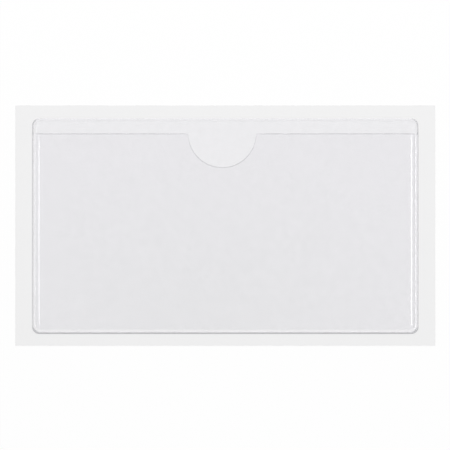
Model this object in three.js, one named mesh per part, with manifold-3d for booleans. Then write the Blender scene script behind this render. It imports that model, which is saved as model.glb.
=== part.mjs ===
// Adhesive label pocket, open along its long top edge.
// A clear front film with a thumb notch is welded to a clear back film along both sides and
// the bottom. The back film carries a full coat of adhesive, which still lies on its release
// liner. Millimetres: +X along the mouth, +Y towards the mouth, +Z out of the front film.
// The origin is the middle of the liner's underside, which is what the pocket lies on.
import * as THREE from "three";
import { mergeVertices } from "three/addons/utils/BufferGeometryUtils.js";
import Module from "manifold-3d";

// Outline of the pocket, with the strip of back film that stands above the mouth
const pocketWidth = 106;
const frontFilmHeight = 55;
const backFilmLip = 4.2;
const cornerRadius = 2;

// Thickness of each layer, from the bottom up
const linerThickness = 0.12;
const adhesiveThickness = 0.06;
const backFilmThickness = 0.2;
const frontFilmThickness = 0.2;

// Paper of the liner that shows round the pocket
const linerSideMargin = 4.65;
const linerTopMargin = 3.55;
const linerBottomMargin = 3.2;

// Bead of melted film that the weld leaves all round the outline
const beadWidth = 0.5;
const beadRise = 0.2;

// Inside the bead, the front film lies flat on the back film and then rises to its plateau
const landWidth = 0.3;
const riseWidth = 1.2;
const plateauCornerRadius = 1;

// Room for a label between the two films
const labelRoom = 0.4;

// Thumb notch in the mouth of the front film
const notchRadius = 9.25;
const notchShift = -0.85;
const notchCornerRadius = 0.4;

// How far a cut reaches past the film that it trims
const cutOvershoot = 1;

// Fineness of the curves
const cornerSteps = 8;
const beadSteps = 8;
const riseSteps = 12;
const notchSteps = 36;

const pocketHeight = frontFilmHeight + backFilmLip;
const seamWidth = beadWidth + landWidth + riseWidth;
const pocketShiftY = (linerBottomMargin - linerTopMargin) / 2;
const mouthY = pocketHeight / 2 - backFilmLip;
const trimX = pocketWidth / 2 + cutOvershoot;
const trimY = pocketHeight / 2 + cutOvershoot;

const linerPaper = new THREE.MeshStandardMaterial({
  color: 0xf0f0f0,
  roughness: 0.8,
  metalness: 0,
});
const clearAdhesive = new THREE.MeshStandardMaterial({
  color: 0xf2f2f3,
  roughness: 0.35,
  metalness: 0,
  transparent: true,
  opacity: 0.1,
});
const backFilmPlastic = new THREE.MeshStandardMaterial({
  color: 0xecedf0,
  roughness: 0.2,
  metalness: 0,
  transparent: true,
  opacity: 0.25,
});
const frontFilmPlastic = new THREE.MeshStandardMaterial({
  color: 0xe6e7ea,
  roughness: 0.15,
  metalness: 0,
  transparent: true,
  opacity: 0.3,
});

// Points along an arc about (centreX, centreY), both ends included
function arcPoints(centreX, centreY, radius, fromAngle, toAngle, steps) {
  const points = [];
  for (let step = 0; step <= steps; step++) {
    const angle = THREE.MathUtils.lerp(fromAngle, toAngle, step / steps);
    points.push(new THREE.Vector2(
      centreX + radius * Math.cos(angle),
      centreY + radius * Math.sin(angle),
    ));
  }
  return points;
}

// The pocket's outline moved inwards by inset. Its corners tighten from the outline's radius
// to the plateau's over the width of the seam.
function outlinePoints(inset) {
  const radius = THREE.MathUtils.lerp(cornerRadius, plateauCornerRadius, inset / seamWidth);
  const x = pocketWidth / 2 - inset - radius;
  const y = pocketHeight / 2 - inset - radius;
  const quarter = Math.PI / 2;
  return [[x, y], [-x, y], [-x, -y], [x, -y]].flatMap(([centreX, centreY], turn) => (
    arcPoints(centreX, centreY, radius, turn * quarter, (turn + 1) * quarter, cornerSteps)
  ));
}

// A closed sheet with the pocket's outline. Its section is a list of [inset, z] points that
// runs from the underside, round the outer edge, to the top. Both ends are closed flat.
function sheetGeometry(section) {
  const firstLoop = outlinePoints(section[0][0]);
  const count = firstLoop.length;
  const positions = section.flatMap(([inset, z]) => (
    outlinePoints(inset).flatMap((point) => [point.x, point.y, z])
  ));
  const faces = [];
  for (let row = 0; row + 1 < section.length; row++) {
    for (let column = 0; column < count; column++) {
      const next = (column + 1) % count;
      const [a, b] = [row * count + column, row * count + next];
      const [c, d] = [a + count, b + count];
      faces.push(a, b, d, a, d, c);
    }
  }
  const top = (section.length - 1) * count;
  for (const [a, b, c] of THREE.ShapeUtils.triangulateShape(firstLoop, [])) {
    faces.push(a, c, b);
    faces.push(top + a, top + b, top + c);
  }
  const geometry = new THREE.BufferGeometry();
  geometry.setAttribute("position", new THREE.Float32BufferAttribute(positions, 3));
  geometry.setIndex(faces);
  geometry.computeVertexNormals();
  return geometry;
}

// Section of the bead on top of a film, from the outer edge inwards
function beadSection(filmThickness) {
  const halfWidth = beadWidth / 2;
  return arcPoints(0, 0, 1, Math.PI, 0, beadSteps).map((point) => (
    [halfWidth + halfWidth * point.x, filmThickness + beadRise * point.y]
  ));
}

// Section of the front film from the land to the plateau, as [inset, height] points of its
// underside. The rise is half a cosine wave, level at both ends.
function riseSection() {
  const points = [];
  for (let step = 0; step <= riseSteps; step++) {
    const share = step / riseSteps;
    const inset = beadWidth + landWidth + share * riseWidth;
    points.push([inset, labelRoom * (1 - Math.cos(Math.PI * share)) / 2]);
  }
  return points;
}

// What the mouth cut takes off the front film: all that lies above the mouth, and a half-round
// thumb notch whose two corners are slightly rounded
function mouthCutGeometry() {
  const cornerX = Math.sqrt((notchRadius + notchCornerRadius) ** 2 - notchCornerRadius ** 2);
  const cornerY = mouthY - notchCornerRadius;
  const tangent = Math.atan2(notchCornerRadius, cornerX);
  const leftCorner = arcPoints(
    notchShift - cornerX, cornerY, notchCornerRadius, Math.PI / 2, tangent, cornerSteps,
  );
  const rightCorner = arcPoints(
    notchShift + cornerX, cornerY, notchCornerRadius, Math.PI - tangent, Math.PI / 2, cornerSteps,
  );
  const notch = arcPoints(
    notchShift, mouthY, notchRadius, Math.PI + tangent, 2 * Math.PI - tangent, notchSteps,
  );
  const shape = new THREE.Shape([
    new THREE.Vector2(-trimX, mouthY),
    ...leftCorner,
    ...notch,
    ...rightCorner,
    new THREE.Vector2(trimX, mouthY),
    new THREE.Vector2(trimX, trimY),
    new THREE.Vector2(-trimX, trimY),
  ]);
  const depth = frontFilmThickness + labelRoom + beadRise + 2 * cutOvershoot;
  const geometry = new THREE.ExtrudeGeometry(shape, { depth, bevelEnabled: false });
  return geometry.translate(0, 0, -cutOvershoot);
}

// What is taken off the back film: its bead below the mouth, where the front film lies on it
function seatCutGeometry() {
  const height = mouthY + trimY;
  const depth = beadRise + cutOvershoot;
  const geometry = new THREE.BoxGeometry(2 * trimX, height, depth);
  return geometry.translate(0, mouthY - height / 2, backFilmThickness + depth / 2);
}

const wasm = await Module();
wasm.setup();

function solidOf(geometry) {
  const bare = geometry.clone();
  bare.deleteAttribute("normal");
  bare.deleteAttribute("uv");
  const merged = mergeVertices(bare);
  return new wasm.Manifold(new wasm.Mesh({
    numProp: 3,
    vertProperties: new Float32Array(merged.attributes.position.array),
    triVerts: new Uint32Array(merged.index.array),
  }));
}

function cutGeometry(geometry, cutter) {
  const { vertProperties, triVerts } = solidOf(geometry).subtract(solidOf(cutter)).getMesh();
  const cut = new THREE.BufferGeometry();
  cut.setAttribute("position", new THREE.BufferAttribute(vertProperties, 3));
  cut.setIndex(new THREE.BufferAttribute(triVerts, 1));
  cut.computeVertexNormals();
  return cut;
}

function namedMesh(name, geometry, material, z) {
  const mesh = new THREE.Mesh(geometry, material);
  mesh.name = name;
  mesh.position.z = z;
  return mesh;
}

function releaseLiner() {
  const width = pocketWidth + 2 * linerSideMargin;
  const height = pocketHeight + linerTopMargin + linerBottomMargin;
  const geometry = new THREE.BoxGeometry(width, height, linerThickness);
  return namedMesh("release_liner", geometry, linerPaper, linerThickness / 2);
}

function adhesiveCoat() {
  const geometry = sheetGeometry([[0, 0], [0, adhesiveThickness]]);
  return namedMesh("adhesive_coat", geometry, clearAdhesive, 0);
}

function backFilm() {
  const section = [[0, 0], ...beadSection(backFilmThickness)];
  const geometry = cutGeometry(sheetGeometry(section), seatCutGeometry());
  return namedMesh("back_film", geometry, backFilmPlastic, adhesiveThickness);
}

function frontFilm() {
  const rise = riseSection();
  const section = [
    ...rise.toReversed(),
    [0, 0],
    ...beadSection(frontFilmThickness),
    ...rise.map(([inset, height]) => [inset, height + frontFilmThickness]),
  ];
  const geometry = cutGeometry(sheetGeometry(section), mouthCutGeometry());
  const seat = adhesiveThickness + backFilmThickness;
  return namedMesh("front_film", geometry, frontFilmPlastic, seat);
}

// The pocket proper, which peels off the liner as one piece
const pocket = new THREE.Group();
pocket.position.set(0, pocketShiftY, linerThickness);
pocket.add(adhesiveCoat(), backFilm(), frontFilm());

const labelPocket = new THREE.Group();
labelPocket.add(releaseLiner(), pocket);

export default labelPocket;
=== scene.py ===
"""Looks of a clear adhesive label pocket that still lies on its white release liner.

Lengths are in millimetres until a mesh is made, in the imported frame: +X runs along the mouth
of the pocket, +Y towards the mouth and +Z up, out of the front film. The sheets are laid out
about the middle of the pocket, and moved to its place when their mesh is made.
"""
import math

import bpy
import numpy as np
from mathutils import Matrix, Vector
from mathutils.geometry import delaunay_2d_cdt


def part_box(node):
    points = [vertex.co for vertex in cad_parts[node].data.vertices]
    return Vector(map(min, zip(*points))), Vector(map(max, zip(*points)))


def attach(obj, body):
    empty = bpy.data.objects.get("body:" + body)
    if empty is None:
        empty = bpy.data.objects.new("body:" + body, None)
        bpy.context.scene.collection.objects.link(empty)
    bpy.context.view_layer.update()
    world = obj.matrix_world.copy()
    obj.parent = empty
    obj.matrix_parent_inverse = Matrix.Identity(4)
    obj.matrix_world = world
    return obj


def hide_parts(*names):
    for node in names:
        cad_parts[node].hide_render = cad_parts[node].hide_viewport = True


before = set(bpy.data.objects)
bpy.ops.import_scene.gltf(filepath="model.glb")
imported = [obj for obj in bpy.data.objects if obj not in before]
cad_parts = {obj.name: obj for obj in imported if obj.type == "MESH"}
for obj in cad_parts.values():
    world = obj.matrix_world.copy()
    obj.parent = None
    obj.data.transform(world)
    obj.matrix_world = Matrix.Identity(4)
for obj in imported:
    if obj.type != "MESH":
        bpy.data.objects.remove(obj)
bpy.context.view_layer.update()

MM = 0.001


def box_mm(node):
    low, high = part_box(node)
    return np.array(low) / MM, np.array(high) / MM


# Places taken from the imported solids
_, liner_high = box_mm("release_liner")
_, coat_high = box_mm("adhesive_coat")
back_low, back_high = box_mm("back_film")
front_low, front_high = box_mm("front_film")
HALF_WIDTH = back_high[0]
HALF_HEIGHT = (back_high[1] - back_low[1]) / 2
POCKET_CENTRE = np.array([0, (back_high[1] + back_low[1]) / 2])
MOUTH_Y = front_high[1] - POCKET_CENTRE[1]
LINER_TOP = liner_high[2]
COAT_TOP = coat_high[2]
BACK_TOP = front_low[2]

# The front film and its welded seam: a bead, a flat land, and the rise to the plateau. With a
# skew under 1 the rise is steeper at its foot.
FILM = 0.2
LABEL_ROOM = front_high[2] - BACK_TOP - FILM
CORNER_RADIUS = 2.0
PLATEAU_RADIUS = 1.0
BEAD_WIDTH = 0.5
BEAD_RISE = 0.2
LAND_WIDTH = 0.3
RISE_WIDTH = 1.35
RISE_SKEW = 0.8
RISE_START = BEAD_WIDTH + LAND_WIDTH
SEAM_WIDTH = RISE_START + RISE_WIDTH

# Thumb notch
NOTCH_RADIUS = 9.25
NOTCH_SHIFT = -0.85
NOTCH_CORNER = 0.4

# Rounding of the cut edges
CUT_ROUND_TOP = 0.08
CUT_ROUND_UNDER = 0.04
LINER_ROUND = 0.02

# Unevenness of the front film, all of it downwards so that nothing grows
FILM_SAG = 0.06
FILM_WAVE = 0.03
WAVE_COUNT = 14
WAVE_LENGTH = 26
WAVE_SPREAD = (0.6, 1.8)
WAVE_SEED = 7

# Space left between sheets that lie on each other
LAYER_CLEARANCE = 0.002

# Fineness of the meshes: steps along lines and over the grid, and numbers of steps round curves
PATH_STEP = 1.5
LINER_STEP = 4.0
GRID_STEP = 1.3
GRID_ROW_SHARE = 0.866
CORNER_STEPS = 14
BEAD_STEPS = 10
RISE_STEPS = 18
NOTCH_STEPS = 72
CUT_STEPS = 4

# How far the grid's points stay from each sheet's lines
LINER_GRID_MARGIN = 0.5
COAT_GRID_MARGIN = 0.6
BACK_GRID_MARGIN = BEAD_WIDTH + 0.5
FRONT_GRID_MARGIN = SEAM_WIDTH + 0.4
MOUTH_GRID_MARGIN = 0.8

# Inset of the liner's innermost line
LINER_INNER_LINE = 0.3

# Precision of the layout: points that count as one, points that count as on the mouth, half the
# distance over which a slope is measured, and rounds of halving that find an inset
SAME_POINT = 1e-5
ON_MOUTH = 1e-4
NORMAL_STEP = 0.004
HALVINGS = 40

# Marks that the films' materials read from their points: widths from the edge, and strengths
# from 0 to 1. A higher gain keeps a mark strong for longer. The darkness marks are painted
# shade: dark lines along the edges, the mouth and the foot of the rise, standing in for the shade
# and refraction there.
RIM_WIDTH = 0.4
RIM_GAIN = 1.3
BEAD_MARK_END = BEAD_WIDTH + 0.2
BEAD_MARK_FADE = 0.15
# The outline's painted shade is darkest along the bottom, which faces away from the key light,
# and on the lip it is painted only at the sides, because the top faces the light.
OUTLINE_GAIN = 1.9
OUTLINE_WIDTH = 0.48
OUTLINE_DARKNESS = 0.33
LIP_DARKNESS = 0.53
LIP_FADE = 1.2
BOTTOM_FADE = 1.0
BOTTOM_OUTLINE_WIDTH = 0.55
BOTTOM_OUTLINE_DARKNESS = 1.0
FUSED_START = 0.7 * BEAD_WIDTH
FUSED_WIDTH = 0.35
BOTTOM_FUSED_WIDTH = 0.85
FUSED_FADE_IN = 0.15
FUSED_FADE_OUT = 0.2
SEAM_END_DULLNESS = 0.6
SEAM_END_LENGTH = 3
SEAM_END_FADE = 0.4
# Painted shade along the cut mouth and round the notch, darker towards the notch's bottom
MOUTH_LINE_WIDTH = 0.28
MOUTH_LINE_GAIN = 1.22
MOUTH_LINE_DARKNESS = 0.48
NOTCH_LINE_START = 0.3
NOTCH_LINE_RUN = 12
NOTCH_LINE_MOST = 0.85
# Painted shade at the foot of the rise, painted stronger on the right than on the left
FOOT_PLACE = 0.24
FOOT_SPREAD = 0.2
FOOT_DARKNESS_LEFT = 0.06
FOOT_DARKNESS_RIGHT = 0.19

# Noise, as scale, detail and roughness
PAPER_CLOUD = (90, 3, 0.5)
PAPER_FIBRE = (2600, 5, 0.65)
FILM_PATCHES = (60, 2, 0.5)
FILM_GRAIN = (420, 3, 0.5)
ADHESIVE_PATCHES = (520, 6, 0.7)
ADHESIVE_CONTRAST = 2.6

# Colours and gloss
WHITE = (1.0, 1.0, 1.0)
PAPER_DARK = (0.856, 0.855, 0.857)
PAPER_LIGHT = (0.886, 0.885, 0.888)
ADHESIVE_TINT = (0.976, 0.978, 0.976)
ADHESIVE_HAZE = 0.01
ADHESIVE_HAZE_COLOUR = (0.8, 0.8, 0.8)
FILM_HAZE_COLOUR = (0.78, 0.78, 0.8)
# Colour of the painted shade along the films' edges, the mouth and the foot of the rise
PAINTED_EDGE_SHADE = (0.66, 0.66, 0.67)
BEAD_ROUGHNESS = 0.4
BEAD_DULLNESS = 0.6
HEAD_ON_GLOSS = 0.04
GLOSS_POWER = 5

# The part of the plateau that looks darkest: its middle, and the distances from there at which
# the tint starts to fade and is gone, which are larger along X
TINT_CENTRE = (-8, -24)
TINT_NEAR = 4
TINT_FAR = 44
TINT_SQUEEZE = 0.5

# Studio
FLOOR_HALF_SIZE = 2.0
FLOOR_GAP = 0.00002
FLOOR_COLOUR = (0.98, 0.98, 0.98)
FLOOR_WHITE_SHARE = 0.8

# The photograph's framing: the view straight down, 450 pixels across
IMAGE_PIXELS = 450
PIXEL = 0.2745
LINER_CENTRE_PIXEL = (225.29, 225.45)
CAMERA_LENS = 200
CAMERA_SENSOR = 36


# Numbers

def ramp(value, start, end):
    """0 at start, 1 at end and straight between them. start may be the higher one."""
    return np.clip((value - start) / (end - start), 0, 1)


def mixed(share, first, second):
    """first where share is 0, and second where it is 1."""
    return first + share * (second - first)


# Lines of the layout

def arc(centre_x, centre_y, radius, start, end, steps):
    """Points along an arc, both ends included."""
    angles = np.linspace(start, end, steps + 1)
    x = centre_x + radius * np.cos(angles)
    y = centre_y + radius * np.sin(angles)
    return np.column_stack([x, y])


def spaced(points, step):
    """The polyline with points added where two are further apart than step."""
    out = [points[:1]]
    for a, b in zip(points[:-1], points[1:]):
        count = max(1, math.ceil(np.hypot(*(b - a)) / step))
        out.append(a + (b - a) * (np.arange(1, count + 1) / count)[:, None])
    return np.vstack(out)


def rectangle(half_x, half_y):
    """The closed outline of a rectangle about the origin."""
    corners = [(half_x, half_y), (-half_x, half_y), (-half_x, -half_y), (half_x, -half_y)]
    return np.array(corners + corners[:1])


def corner_radius(inset):
    return mixed(np.clip(inset / SEAM_WIDTH, 0, 1), CORNER_RADIUS, PLATEAU_RADIUS)


def outline(inset):
    """The pocket's closed outline moved inwards by inset, from its right side anticlockwise."""
    radius = corner_radius(inset)
    x = HALF_WIDTH - inset - radius
    y = HALF_HEIGHT - inset - radius
    quarter = math.pi / 2
    corners = [
        arc(centre_x, centre_y, radius, turn * quarter, (turn + 1) * quarter, CORNER_STEPS)
        for turn, (centre_x, centre_y) in enumerate(rectangle(x, y)[:-1])
    ]
    return spaced(np.vstack(corners + [corners[0][:1]]), PATH_STEP)[:-1]


def seam_path(inset):
    """The outline below the mouth: down the left side, along the bottom and up the right side."""
    side = HALF_WIDTH - inset
    radius = corner_radius(inset)
    x = side - radius
    y = -(HALF_HEIGHT - inset - radius)
    left = arc(-x, y, radius, math.pi, 1.5 * math.pi, CORNER_STEPS)
    right = arc(x, y, radius, 1.5 * math.pi, 2 * math.pi, CORNER_STEPS)
    path = np.vstack([[(-side, MOUTH_Y)], left, right, [(side, MOUTH_Y)]])
    return spaced(path, PATH_STEP)


def mouth_path(depth):
    """The cut edge of the mouth and its thumb notch, from left to right, moved down by depth."""
    corner_x = math.sqrt((NOTCH_RADIUS + NOTCH_CORNER) ** 2 - NOTCH_CORNER ** 2)
    corner_y = MOUTH_Y - NOTCH_CORNER
    tangent = math.atan2(NOTCH_CORNER, corner_x)
    radius = NOTCH_CORNER - depth
    left = arc(NOTCH_SHIFT - corner_x, corner_y, radius, math.pi / 2, tangent, CORNER_STEPS)
    notch = arc(
        NOTCH_SHIFT, MOUTH_Y, NOTCH_RADIUS + depth, math.pi + tangent, 2 * math.pi - tangent,
        NOTCH_STEPS,
    )
    right = arc(
        NOTCH_SHIFT + corner_x, corner_y, radius, math.pi - tangent, math.pi / 2, CORNER_STEPS
    )
    start, end = (-HALF_WIDTH, MOUTH_Y - depth), (HALF_WIDTH, MOUTH_Y - depth)
    return spaced(np.vstack([[start], left, notch[1:-1], right, [end]]), PATH_STEP)


def bead_insets():
    """Insets from the outer edge over the bead, closer together where it is steep."""
    angles = np.linspace(0, math.pi, BEAD_STEPS + 1)
    return BEAD_WIDTH / 2 * (1 - np.cos(angles))


def cut_depths():
    """Depths from the mouth over its rounded edge and its dark line."""
    angles = np.linspace(0, math.pi / 2, CUT_STEPS + 1)
    return [*CUT_ROUND_TOP * (1 - np.cos(angles)), 1.5 * CUT_ROUND_TOP, MOUTH_LINE_WIDTH]


# Places in the layout

def inset_of(points):
    """How far inside the pocket's outline each point lies, by the same loops as outline()."""
    low = np.zeros(len(points))
    high = np.full(len(points), HALF_HEIGHT)
    across = np.abs(points)
    for _ in range(HALVINGS):
        middle = (low + high) / 2
        radius = corner_radius(middle)
        past_x = across[:, 0] - (HALF_WIDTH - middle - radius)
        past_y = across[:, 1] - (HALF_HEIGHT - middle - radius)
        past_corner = np.hypot(np.maximum(past_x, 0), np.maximum(past_y, 0))
        short_of_sides = np.minimum(np.maximum(past_x, past_y), 0)
        beyond = past_corner + short_of_sides - radius > 0
        high = np.where(beyond, middle, high)
        low = np.where(beyond, low, middle)
    return low


def distance_to(path, points):
    """Distance of each point from a polyline."""
    best = np.full(len(points), np.inf)
    for a, b in zip(path[:-1], path[1:]):
        along = b - a
        share = np.clip((points - a) @ along / (along @ along), 0, 1)
        gap = points - a - share[:, None] * along
        best = np.minimum(best, np.hypot(gap[:, 0], gap[:, 1]))
    return best


def above_mouth(points):
    """Whether each point lies above the mouth or on it."""
    return points[:, 1] > MOUTH_Y - ON_MOUTH


def grid_points(half_width, half_height):
    """A hexagonal grid of points over the sheet."""
    rows = np.arange(-half_height, half_height + GRID_STEP, GRID_STEP * GRID_ROW_SHARE)
    columns = np.arange(-half_width, half_width + GRID_STEP, GRID_STEP)
    x, y = np.meshgrid(columns, rows)
    x[1::2] += GRID_STEP / 2
    return np.column_stack([x.ravel(), y.ravel()])


def inner_grid(margin):
    """Grid points that lie at least margin inside the pocket's outline."""
    points = grid_points(HALF_WIDTH, HALF_HEIGHT)
    within_sides = np.abs(points) < (HALF_WIDTH - margin, HALF_HEIGHT - margin)
    points = points[np.all(within_sides, axis=1)]
    return points[inset_of(points) > margin]


# Heights

def bead_height(inset):
    """Height of the melted bead, a half ellipse on the outer edge."""
    offset = np.clip((inset - BEAD_WIDTH / 2) / (BEAD_WIDTH / 2), -1, 1)
    return BEAD_RISE * np.sqrt(1 - offset ** 2)


def rise_height(inset):
    """Height of the front film above the weld: level at the weld and at the plateau."""
    share = ramp(inset, RISE_START, SEAM_WIDTH)
    return LABEL_ROOM * (1 - np.cos(math.pi * share ** RISE_SKEW)) / 2


def rounded_edge(depth, radius):
    """How far a surface falls at depth from its edge, where the edge is rounded."""
    inward = np.clip(1 - depth / radius, 0, 1)
    return radius * (1 - np.sqrt(1 - inward ** 2))


def waves(points):
    """Soft unevenness from 0 to 1 over the sheet, a sum of sines."""
    generator = np.random.default_rng(WAVE_SEED)
    total = np.zeros(len(points))
    for _ in range(WAVE_COUNT):
        direction = generator.uniform(0, 2 * math.pi)
        reach = WAVE_LENGTH * generator.uniform(*WAVE_SPREAD)
        phase = generator.uniform(0, 2 * math.pi)
        along = points @ np.array([math.cos(direction), math.sin(direction)])
        total += np.sin(2 * math.pi * along / reach + phase)
    return 0.5 + 0.5 * np.tanh(total / math.sqrt(WAVE_COUNT))


def slack(points, rise):
    """How far the front film hangs below its plateau: a sag in the middle, and soft waves."""
    looseness = (rise / LABEL_ROOM) ** 2
    middle = np.clip(1 - (points[:, 0] / HALF_WIDTH) ** 2, 0, 1)
    middle *= np.clip(1 - (points[:, 1] / HALF_HEIGHT) ** 2, 0, 1)
    return looseness * (FILM_SAG * middle + FILM_WAVE * waves(points))


# Marks

def edge_mark(distance, reach, gain):
    """1 next to an edge and 0 from reach on."""
    return np.clip(gain * (1 - distance / reach), 0, 1)


def bead_mark(inset):
    """1 on the bead and 0 inside it, with a soft change between."""
    return ramp(inset, BEAD_MARK_END, BEAD_MARK_END - BEAD_MARK_FADE)


def bottom_mark(points):
    """1 at the bottom edge of the pocket and 0 above its seam."""
    start = SEAM_WIDTH - HALF_HEIGHT
    return ramp(points[:, 1], start, start - BOTTOM_FADE)


def fused_mark(points, inset):
    """1 where the two films are melted into one, which is clearer, and 0 elsewhere."""
    end = BEAD_WIDTH + mixed(bottom_mark(points), FUSED_WIDTH, BOTTOM_FUSED_WIDTH)
    fade_in = ramp(inset, FUSED_START, FUSED_START + FUSED_FADE_IN)
    return fade_in * ramp(inset, end, end - FUSED_FADE_OUT)


def seam_end_mark(inset, depth):
    """Above 0 where the weld meets the mouth, because its gloss is duller there."""
    over_seam = ramp(inset, SEAM_WIDTH + SEAM_END_FADE, SEAM_WIDTH)
    return SEAM_END_DULLNESS * over_seam * ramp(depth, SEAM_END_LENGTH, 0)


def lip_painted_shade(points, inset):
    """Painted shade along the back film's outline above the mouth, only at its sides, since its
    top faces the light.
    """
    start = HALF_WIDTH - CORNER_RADIUS
    side = ramp(np.abs(points[:, 0]), start, start + LIP_FADE)
    return LIP_DARKNESS * side * edge_mark(inset, OUTLINE_WIDTH, OUTLINE_GAIN)


def mouth_painted_shade(points, inset, depth):
    """Painted shade along the cut mouth. Its line fades out over the weld, and in the notch it
    gets darker further down."""
    x, y = points.T
    line = np.minimum(edge_mark(depth, MOUTH_LINE_WIDTH, MOUTH_LINE_GAIN), MOUTH_LINE_DARKNESS)
    in_notch = np.abs(x - NOTCH_SHIFT) < NOTCH_RADIUS + NOTCH_CORNER
    share = np.clip(NOTCH_LINE_START + (MOUTH_Y - y) / NOTCH_LINE_RUN, 0, NOTCH_LINE_MOST)
    return line * ramp(inset, RISE_START, SEAM_WIDTH) * np.where(in_notch, share, 1)


def outline_painted_shade(inset, bottom):
    """Painted shade along the front film's outline, darkest along the bottom, which faces away
    from the key light.
    """
    reach = mixed(bottom, OUTLINE_WIDTH, BOTTOM_OUTLINE_WIDTH)
    strength = mixed(bottom, OUTLINE_DARKNESS, BOTTOM_OUTLINE_DARKNESS)
    return strength * edge_mark(inset, reach, OUTLINE_GAIN)


def foot_painted_shade(points, inset, bottom):
    """Painted shade at the foot of the rise along the sides, stronger on the right."""
    offset = (inset - RISE_START) / RISE_WIDTH - FOOT_PLACE
    strength = np.where(points[:, 0] > 0, FOOT_DARKNESS_RIGHT, FOOT_DARKNESS_LEFT)
    return strength * (1 - bottom) * np.exp(-(offset / FOOT_SPREAD) ** 2)


def front_film_painted_shade(points, inset, depth):
    """Painted shade on the front film's edges: the strongest of its three kinds of line."""
    bottom = bottom_mark(points)
    lines = (
        mouth_painted_shade(points, inset, depth),
        outline_painted_shade(inset, bottom),
        foot_painted_shade(points, inset, bottom),
    )
    return np.max(lines, axis=0)


# Meshes

def inside(points, loop):
    """Whether each point lies inside a closed line, by the crossings to its right."""
    crossings = np.zeros(len(points), dtype=int)
    for a, b in zip(loop, np.roll(loop, -1, axis=0)):
        if a[1] == b[1]:
            continue
        spans = (points[:, 1] >= min(a[1], b[1])) & (points[:, 1] < max(a[1], b[1]))
        across = a[0] + (points[:, 1] - a[1]) / (b[1] - a[1]) * (b[0] - a[0])
        crossings += spans & (across > points[:, 0])
    return crossings % 2 == 1


def triangulated(closed, opened, loose):
    """Points and triangles of the region inside the first closed line. The other lines and
    the loose points are its inner points, and every line is kept as edges."""
    points, edges = [], []
    for lines, is_closed in ((closed, True), (opened, False)):
        for line in lines:
            start = len(points)
            points.extend(line)
            edges.extend((start + i, start + i + 1) for i in range(len(line) - 1))
            if is_closed:
                edges.append((start + len(line) - 1, start))
    points.extend(loose)
    inside_constraints = 1
    found = delaunay_2d_cdt(
        [Vector(p) for p in points], edges, [], inside_constraints, SAME_POINT, False
    )
    corners = np.array([tuple(v) for v in found[0]])
    triangles = np.array(found[2])
    return corners, triangles[inside(corners[triangles].mean(axis=1), closed[0])]


def surface_normals(surfaces, flat):
    """Unit normals of the top and the underside at each point, worked out from their heights."""
    slopes = [
        (np.array(surfaces(flat + move)) - np.array(surfaces(flat - move))) / (2 * NORMAL_STEP)
        for move in NORMAL_STEP * np.eye(2)
    ]
    normals = []
    for side, up in ((0, 1), (1, -1)):
        normal = np.column_stack([-slopes[0][side], -slopes[1][side], np.ones(len(flat))])
        normals.append(up * normal / np.linalg.norm(normal, axis=1)[:, None])
    return np.vstack(normals)


def sheet_faces(triangles, count):
    """Faces of a closed sheet: its top, its underside, and the walls at its edges."""
    sides = dict.fromkeys(
        edge for a, b, c in triangles for edge in ((a, b), (b, c), (c, a))
    )
    walls = [(b, a, a + count, b + count) for a, b in sides if (b, a) not in sides]
    faces = [*triangles, *(triangles[:, ::-1] + count), *walls]
    return [tuple(int(corner) for corner in face) for face in faces]


def set_normals(mesh, normals, first_wall):
    """Gives the top and the underside the normals of their points, and leaves walls flat."""
    by_loop = np.empty((len(mesh.loops), 3))
    for face in mesh.polygons:
        is_wall = face.index >= first_wall
        for loop in face.loop_indices:
            vertex = mesh.loops[loop].vertex_index
            by_loop[loop] = face.normal if is_wall else normals[vertex]
    mesh.normals_split_custom_set(by_loop.tolist())


def sheet_object(name, flat, triangles, surfaces, material, marks=()):
    """A closed sheet from a triangulated outline. surfaces gives the heights of its top and its
    underside at any points, and marks are (name, values) pairs that are stored on its points."""
    placed = flat + POCKET_CENTRE
    corners = np.vstack([np.column_stack([placed, heights]) for heights in surfaces(flat)]) * MM
    mesh = bpy.data.meshes.new(name)
    mesh.from_pydata([tuple(c) for c in corners], [], sheet_faces(triangles, len(flat)))
    for mark, values in marks:
        layer = mesh.attributes.new(mark, "FLOAT", "POINT")
        layer.data.foreach_set("value", np.concatenate([values, values]).astype(np.float32))
    mesh.shade_smooth()
    set_normals(mesh, surface_normals(surfaces, flat), 2 * len(triangles))
    mesh.materials.append(material)
    sheet = bpy.data.objects.new(name, mesh)
    bpy.context.scene.collection.objects.link(sheet)
    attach(sheet, "root")
    return sheet


def clear_to_light(sheet):
    """The paper below a clear layer is lit as if the layer weren't there."""
    sheet.visible_shadow = False
    sheet.visible_diffuse = False


# Shader graphs

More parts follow.
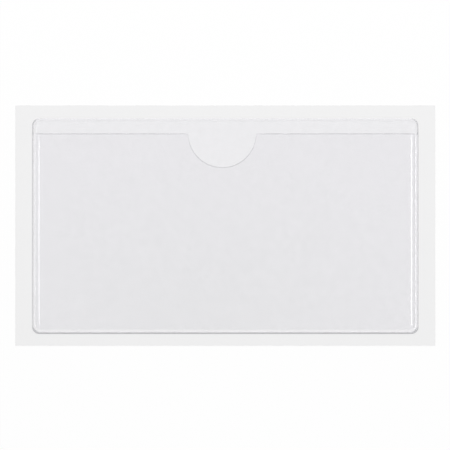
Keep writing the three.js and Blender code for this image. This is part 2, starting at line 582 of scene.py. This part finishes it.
class Graph:
    """The nodes of a material or a world, made one call at a time. Wherever a value is asked
    for, it is a number, a tuple or another node's output."""

    def __init__(self, owner):
        owner.use_nodes = True
        self.owner = owner
        self.tree = owner.node_tree
        self.tree.nodes.clear()

    def node(self, kind, inputs=None, **settings):
        made = self.tree.nodes.new(kind)
        for key, value in settings.items():
            setattr(made, key, value)
        for key, value in (inputs or {}).items():
            self.feed(made.inputs[key], value)
        return made

    def feed(self, socket, value):
        if isinstance(value, bpy.types.NodeSocket):
            self.tree.links.new(value, socket)
        elif socket.type == "RGBA":
            socket.default_value = (*value, 1)
        else:
            socket.default_value = value

    def math(self, operation, *values, clamp=False):
        inputs = dict(enumerate(values))
        made = self.node("ShaderNodeMath", inputs, operation=operation, use_clamp=clamp)
        return made.outputs[0]

    def place(self):
        return self.node("ShaderNodeTexCoord").outputs["Object"]

    def noise(self, scale, detail, roughness):
        inputs = {
            "Vector": self.place(), "Scale": scale, "Detail": detail, "Roughness": roughness
        }
        return self.node("ShaderNodeTexNoise", inputs).outputs["Fac"]

    def stronger(self, value, contrast):
        """A value near 0.5 spread further from it, and kept between 0 and 1."""
        return self.math("MULTIPLY_ADD", value, contrast, 0.5 - 0.5 * contrast, clamp=True)

    def mixed_colour(self, factor, first, second):
        made = self.node("ShaderNodeMix", {0: factor}, data_type="RGBA")
        first_colour, second_colour = made.inputs[6:8]
        self.feed(first_colour, first)
        self.feed(second_colour, second)
        return made.outputs[2]

    def mixed_shader(self, factor, first, second):
        return self.node("ShaderNodeMixShader", {0: factor, 1: first, 2: second}).outputs[0]

    def away_from(self, centre, near, far, squeeze):
        """0 nearer to a point than near and 1 further than far, in millimetres in the plane.
        Distances along X count squeeze times as much as those along Y."""
        shifted = self.node("ShaderNodeMapping", {
            "Vector": self.place(),
            "Location": (-centre[0] * squeeze * MM, -centre[1] * MM, 0),
            "Scale": (squeeze, 1, 0),
        })
        distance = self.node(
            "ShaderNodeVectorMath", {0: shifted.outputs["Vector"]}, operation="LENGTH"
        )
        made = self.node("ShaderNodeMapRange", {
            "Value": distance.outputs["Value"], "From Min": near * MM, "From Max": far * MM
        })
        return made.outputs["Result"]

    def bump(self, height, strength, distance):
        inputs = {"Height": height, "Strength": strength, "Distance": distance}
        return self.node("ShaderNodeBump", inputs).outputs["Normal"]

    def attribute(self, name):
        return self.node("ShaderNodeAttribute", attribute_name=name).outputs["Fac"]

    def finish(self, surface, output="ShaderNodeOutputMaterial"):
        self.node(output, {"Surface": surface})
        return self.owner


def liner_paper():
    """Smooth white siliconised paper with a faint fibre and cloudiness."""
    graph = Graph(bpy.data.materials.new("liner_paper"))
    cloud = graph.math("MULTIPLY", graph.noise(*PAPER_CLOUD), 0.5)
    fibre = graph.noise(*PAPER_FIBRE)
    blend = graph.math("ADD", cloud, graph.math("MULTIPLY", fibre, 0.5))
    shader = graph.node("ShaderNodeBsdfPrincipled", {
        "Base Color": graph.mixed_colour(blend, PAPER_DARK, PAPER_LIGHT),
        "Roughness": 0.6,
        "Specular IOR Level": 0.25,
        "Normal": graph.bump(fibre, strength=0.12, distance=0.00003),
    })
    return graph.finish(shader.outputs["BSDF"])


def film_tint(graph, tint, low_tint):
    """What the film lets through: its tint, darker towards the lower middle of the plateau, clear
    where it is fused, and darkened by painted shade along its edges.
    """
    away = graph.away_from(TINT_CENTRE, TINT_NEAR, TINT_FAR, TINT_SQUEEZE)
    colour = graph.mixed_colour(away, low_tint, tint)
    colour = graph.mixed_colour(graph.attribute("fused"), colour, WHITE)
    # Painted shade from the cut mark, along the edges, the mouth and the foot of the rise
    return graph.mixed_colour(graph.attribute("cut"), colour, PAINTED_EDGE_SHADE)


def film_shine(graph):
    """The film's share of gloss, which grows towards grazing angles and is less on the bead."""
    facing = graph.node("ShaderNodeLayerWeight", {"Blend": 0.5}).outputs["Facing"]
    power = graph.math("POWER", facing, GLOSS_POWER)
    shine = graph.math("MULTIPLY_ADD", power, 1 - HEAD_ON_GLOSS, HEAD_ON_GLOSS)
    left = graph.math("MULTIPLY_ADD", graph.attribute("bead"), -BEAD_DULLNESS, 1.0)
    return graph.math("MULTIPLY", shine, left)


def clear_film(name, tint, low_tint, haze, mottle, rim_haze, rim_shade, roughness):
    """Clear film: tinted see-through plastic with a faint uneven haze and a gloss. Its welded
    rim is cloudy in a dark grey, which is partly painted shade along the edges."""
    graph = Graph(bpy.data.materials.new(name))
    rim = graph.attribute("rim")
    patches = graph.noise(*FILM_PATCHES)
    cloudy = graph.math("MULTIPLY_ADD", patches, mottle, haze - mottle / 2)
    dense = graph.math("ADD", cloudy, graph.math("MULTIPLY", rim, rim_haze))
    through = graph.node(
        "ShaderNodeBsdfTransparent", {"Color": film_tint(graph, tint, low_tint)}
    )
    body_colour = graph.mixed_colour(rim, FILM_HAZE_COLOUR, rim_shade)
    body = graph.node("ShaderNodeBsdfDiffuse", {"Color": body_colour})
    bead_roughness = graph.math(
        "MULTIPLY_ADD", graph.attribute("bead"), BEAD_ROUGHNESS - roughness, roughness
    )
    gloss = graph.node("ShaderNodeBsdfGlossy", {
        "Color": WHITE,
        "Roughness": bead_roughness,
        "Normal": graph.bump(graph.noise(*FILM_GRAIN), strength=0.05, distance=0.00002),
    })
    plastic = graph.mixed_shader(dense, through.outputs[0], body.outputs[0])
    return graph.finish(graph.mixed_shader(film_shine(graph), plastic, gloss.outputs[0]))


def clear_adhesive():
    """The adhesive under the back film: see-through, with faint uneven patches."""
    graph = Graph(bpy.data.materials.new("clear_adhesive"))
    patches = graph.stronger(graph.noise(*ADHESIVE_PATCHES), ADHESIVE_CONTRAST)
    tint = graph.mixed_colour(patches, WHITE, ADHESIVE_TINT)
    through = graph.node("ShaderNodeBsdfTransparent", {"Color": tint})
    body = graph.node("ShaderNodeBsdfDiffuse", {"Color": ADHESIVE_HAZE_COLOUR})
    return graph.finish(graph.mixed_shader(ADHESIVE_HAZE, through.outputs[0], body.outputs[0]))


# The four layers

def make_release_liner():
    half = liner_high[:2]
    insets = (0, LINER_ROUND / 3, LINER_ROUND, 2 * LINER_ROUND, LINER_INNER_LINE)
    loops = [spaced(rectangle(*(half - inset)), LINER_STEP)[:-1] for inset in insets]
    loose = grid_points(*(half - 2 * LINER_GRID_MARGIN))
    loose = loose[np.all(np.abs(loose) < half - LINER_GRID_MARGIN, axis=1)]
    points, triangles = triangulated(loops, [], loose)

    def surfaces(flat):
        inward = np.min(half - np.abs(flat + POCKET_CENTRE), axis=1)
        fall = rounded_edge(inward, LINER_ROUND)
        return LINER_TOP - LAYER_CLEARANCE - fall, fall

    flat = points - POCKET_CENTRE
    sheet = sheet_object("release_liner_paper", flat, triangles, surfaces, liner_paper())
    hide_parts("release_liner")


def make_adhesive_coat():
    flat, triangles = triangulated([outline(0)], [], inner_grid(COAT_GRID_MARGIN))

    def surfaces(points):
        level = np.ones(len(points))
        return COAT_TOP * level, LINER_TOP * level

    sheet = sheet_object("adhesive_layer", flat, triangles, surfaces, clear_adhesive())
    clear_to_light(sheet)
    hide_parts("adhesive_coat")


def make_back_film():
    loops = [outline(inset) for inset in bead_insets()]
    across = spaced(np.array([(-HALF_WIDTH, MOUTH_Y), (HALF_WIDTH, MOUTH_Y)]), PATH_STEP)
    flat, triangles = triangulated(loops, [across], inner_grid(BACK_GRID_MARGIN))

    def surfaces(points):
        bead = np.where(above_mouth(points), bead_height(inset_of(points)), 0)
        under = np.full(len(points), COAT_TOP + LAYER_CLEARANCE)
        return BACK_TOP - LAYER_CLEARANCE + bead, under

    inset = inset_of(flat)
    on_lip = above_mouth(flat)
    marks = [
        ("rim", np.where(on_lip, edge_mark(inset, RIM_WIDTH, RIM_GAIN), 0)),
        # The cut mark is painted shade along the lip's sides
        ("cut", np.where(on_lip, lip_painted_shade(flat, inset), 0)),
        ("bead", bead_mark(inset)),
    ]
    material = clear_film(
        "back_film_plastic", tint=(0.988, 0.985, 0.995), low_tint=(0.987, 0.985, 0.992),
        haze=0.012, mottle=0.02, rim_haze=0.2, rim_shade=(0.76, 0.76, 0.77), roughness=0.1,
    )
    sheet = sheet_object("back_film_sheet", flat, triangles, surfaces, material, marks)
    clear_to_light(sheet)
    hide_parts("back_film")


def front_film_layout(edge):
    """Points and triangles of the front film, whose mouth and notch are the line edge."""
    boundary = np.vstack([seam_path(0), edge[::-1][1:-1]])
    rises = RISE_START + RISE_WIDTH * np.linspace(0, 1, RISE_STEPS + 1)
    lines = [seam_path(inset) for inset in (*bead_insets()[1:], *rises)]
    lines += [mouth_path(depth) for depth in cut_depths()[1:]]
    loose = inner_grid(FRONT_GRID_MARGIN)
    loose = loose[loose[:, 1] < MOUTH_Y - MOUTH_GRID_MARGIN]
    from_notch = np.hypot(loose[:, 0] - NOTCH_SHIFT, loose[:, 1] - MOUTH_Y)
    loose = loose[from_notch >= NOTCH_RADIUS + MOUTH_GRID_MARGIN]
    return triangulated([boundary], lines, loose)


def make_front_film():
    edge = mouth_path(0)
    flat, triangles = front_film_layout(edge)

    def surfaces(points):
        inset = inset_of(points)
        depth = distance_to(edge, points)
        rise = rise_height(inset)
        lifted = BACK_TOP + rise - slack(points, rise)
        top = lifted + FILM + bead_height(inset) - rounded_edge(depth, CUT_ROUND_TOP)
        return top, lifted + rounded_edge(depth, CUT_ROUND_UNDER)

    inset = inset_of(flat)
    depth = distance_to(edge, flat)
    marks = [
        ("rim", edge_mark(inset, RIM_WIDTH, RIM_GAIN)),
        # The cut mark is painted shade along the outline, the mouth and the foot of the rise
        ("cut", front_film_painted_shade(flat, inset, depth)),
        ("bead", np.maximum(bead_mark(inset), seam_end_mark(inset, depth))),
        ("fused", fused_mark(flat, inset)),
    ]
    material = clear_film(
        "front_film_plastic", tint=(0.981, 0.979, 0.984), low_tint=(0.969, 0.969, 0.972),
        haze=0.015, mottle=0.025, rim_haze=0.75, rim_shade=(0.66, 0.66, 0.67), roughness=0.06,
    )
    sheet = sheet_object("front_film_sheet", flat, triangles, surfaces, material, marks)
    clear_to_light(sheet)
    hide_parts("front_film")


# Studio

def white_to_camera(graph, lighting, white, share):
    """lighting for diffuse light, and share of white for what the camera, gloss and glass see."""
    path = graph.node("ShaderNodeLightPath")
    seen = graph.math("MAXIMUM", path.outputs["Is Camera Ray"], path.outputs["Is Glossy Ray"])
    seen = graph.math("MAXIMUM", seen, path.outputs["Is Transmission Ray"])
    return graph.mixed_shader(graph.math("MULTIPLY", seen, share), lighting, white)


def make_world(ambient):
    """Even light of the given level, which looks plain white to the camera and in gloss."""
    world = bpy.data.worlds.new("studio")
    bpy.context.scene.world = world
    graph = Graph(world)
    light = graph.node("ShaderNodeBackground", {"Color": WHITE, "Strength": ambient})
    white = graph.node("ShaderNodeBackground", {"Color": WHITE, "Strength": 1.0})
    surface = white_to_camera(graph, light.outputs[0], white.outputs[0], 1.0)
    graph.finish(surface, "ShaderNodeOutputWorld")


def make_floor():
    corners = [(x, y, -FLOOR_GAP) for x, y in rectangle(FLOOR_HALF_SIZE, FLOOR_HALF_SIZE)[:-1]]
    mesh = bpy.data.meshes.new("floor")
    mesh.from_pydata(corners, [], [(0, 1, 2, 3)])
    graph = Graph(bpy.data.materials.new("floor_white"))
    matt = graph.node("ShaderNodeBsdfDiffuse", {"Color": FLOOR_COLOUR})
    white = graph.node("ShaderNodeEmission", {"Color": WHITE, "Strength": 1.0})
    surface = white_to_camera(graph, matt.outputs[0], white.outputs[0], FLOOR_WHITE_SHARE)
    mesh.materials.append(graph.finish(surface))
    floor = bpy.data.objects.new("floor", mesh)
    bpy.context.scene.collection.objects.link(floor)


def make_softbox(name, azimuth, tilt, distance, size, level):
    """A square softbox aimed at the object. azimuth runs from +X towards +Y, tilt is from the
    vertical, and level is its share of the light on a flat white sheet."""
    turn, lean = math.radians(azimuth), math.radians(tilt)
    towards = Vector((
        math.sin(lean) * math.cos(turn), math.sin(lean) * math.sin(turn), math.cos(lean)
    ))
    lamp = bpy.data.lights.new(name, "AREA")
    lamp.shape = "SQUARE"
    lamp.size = size
    lamp.energy = level * math.pi ** 2 * distance ** 2 / math.cos(lean)
    softbox = bpy.data.objects.new(name, lamp)
    softbox.location = towards * distance
    softbox.rotation_euler = towards.to_track_quat("Z", "Y").to_euler()
    bpy.context.scene.collection.objects.link(softbox)


def make_camera():
    camera = bpy.data.objects.new("camera", bpy.data.cameras.new("camera"))
    camera.data.lens = CAMERA_LENS
    camera.data.sensor_width = CAMERA_SENSOR
    view_width = IMAGE_PIXELS * PIXEL * MM
    height = view_width * CAMERA_LENS / CAMERA_SENSOR + LINER_TOP * MM
    middle = IMAGE_PIXELS / 2
    camera.location = (
        (middle - LINER_CENTRE_PIXEL[0]) * PIXEL * MM,
        (LINER_CENTRE_PIXEL[1] - middle) * PIXEL * MM,
        height,
    )
    camera.data.clip_start = 0.01
    camera.data.clip_end = 10
    bpy.context.scene.collection.objects.link(camera)
    bpy.context.scene.camera = camera


make_release_liner()
make_adhesive_coat()
make_back_film()
make_front_film()
make_world(ambient=0.405)
make_floor()
make_softbox("key", azimuth=90, tilt=50, distance=2.0, size=1.0, level=0.36)
make_softbox("left", azimuth=180, tilt=21, distance=1.6, size=0.5, level=0.1)
make_softbox("right", azimuth=0, tilt=21, distance=1.6, size=0.5, level=0.16)
make_camera()
bpy.context.scene.view_settings.view_transform = "Standard"
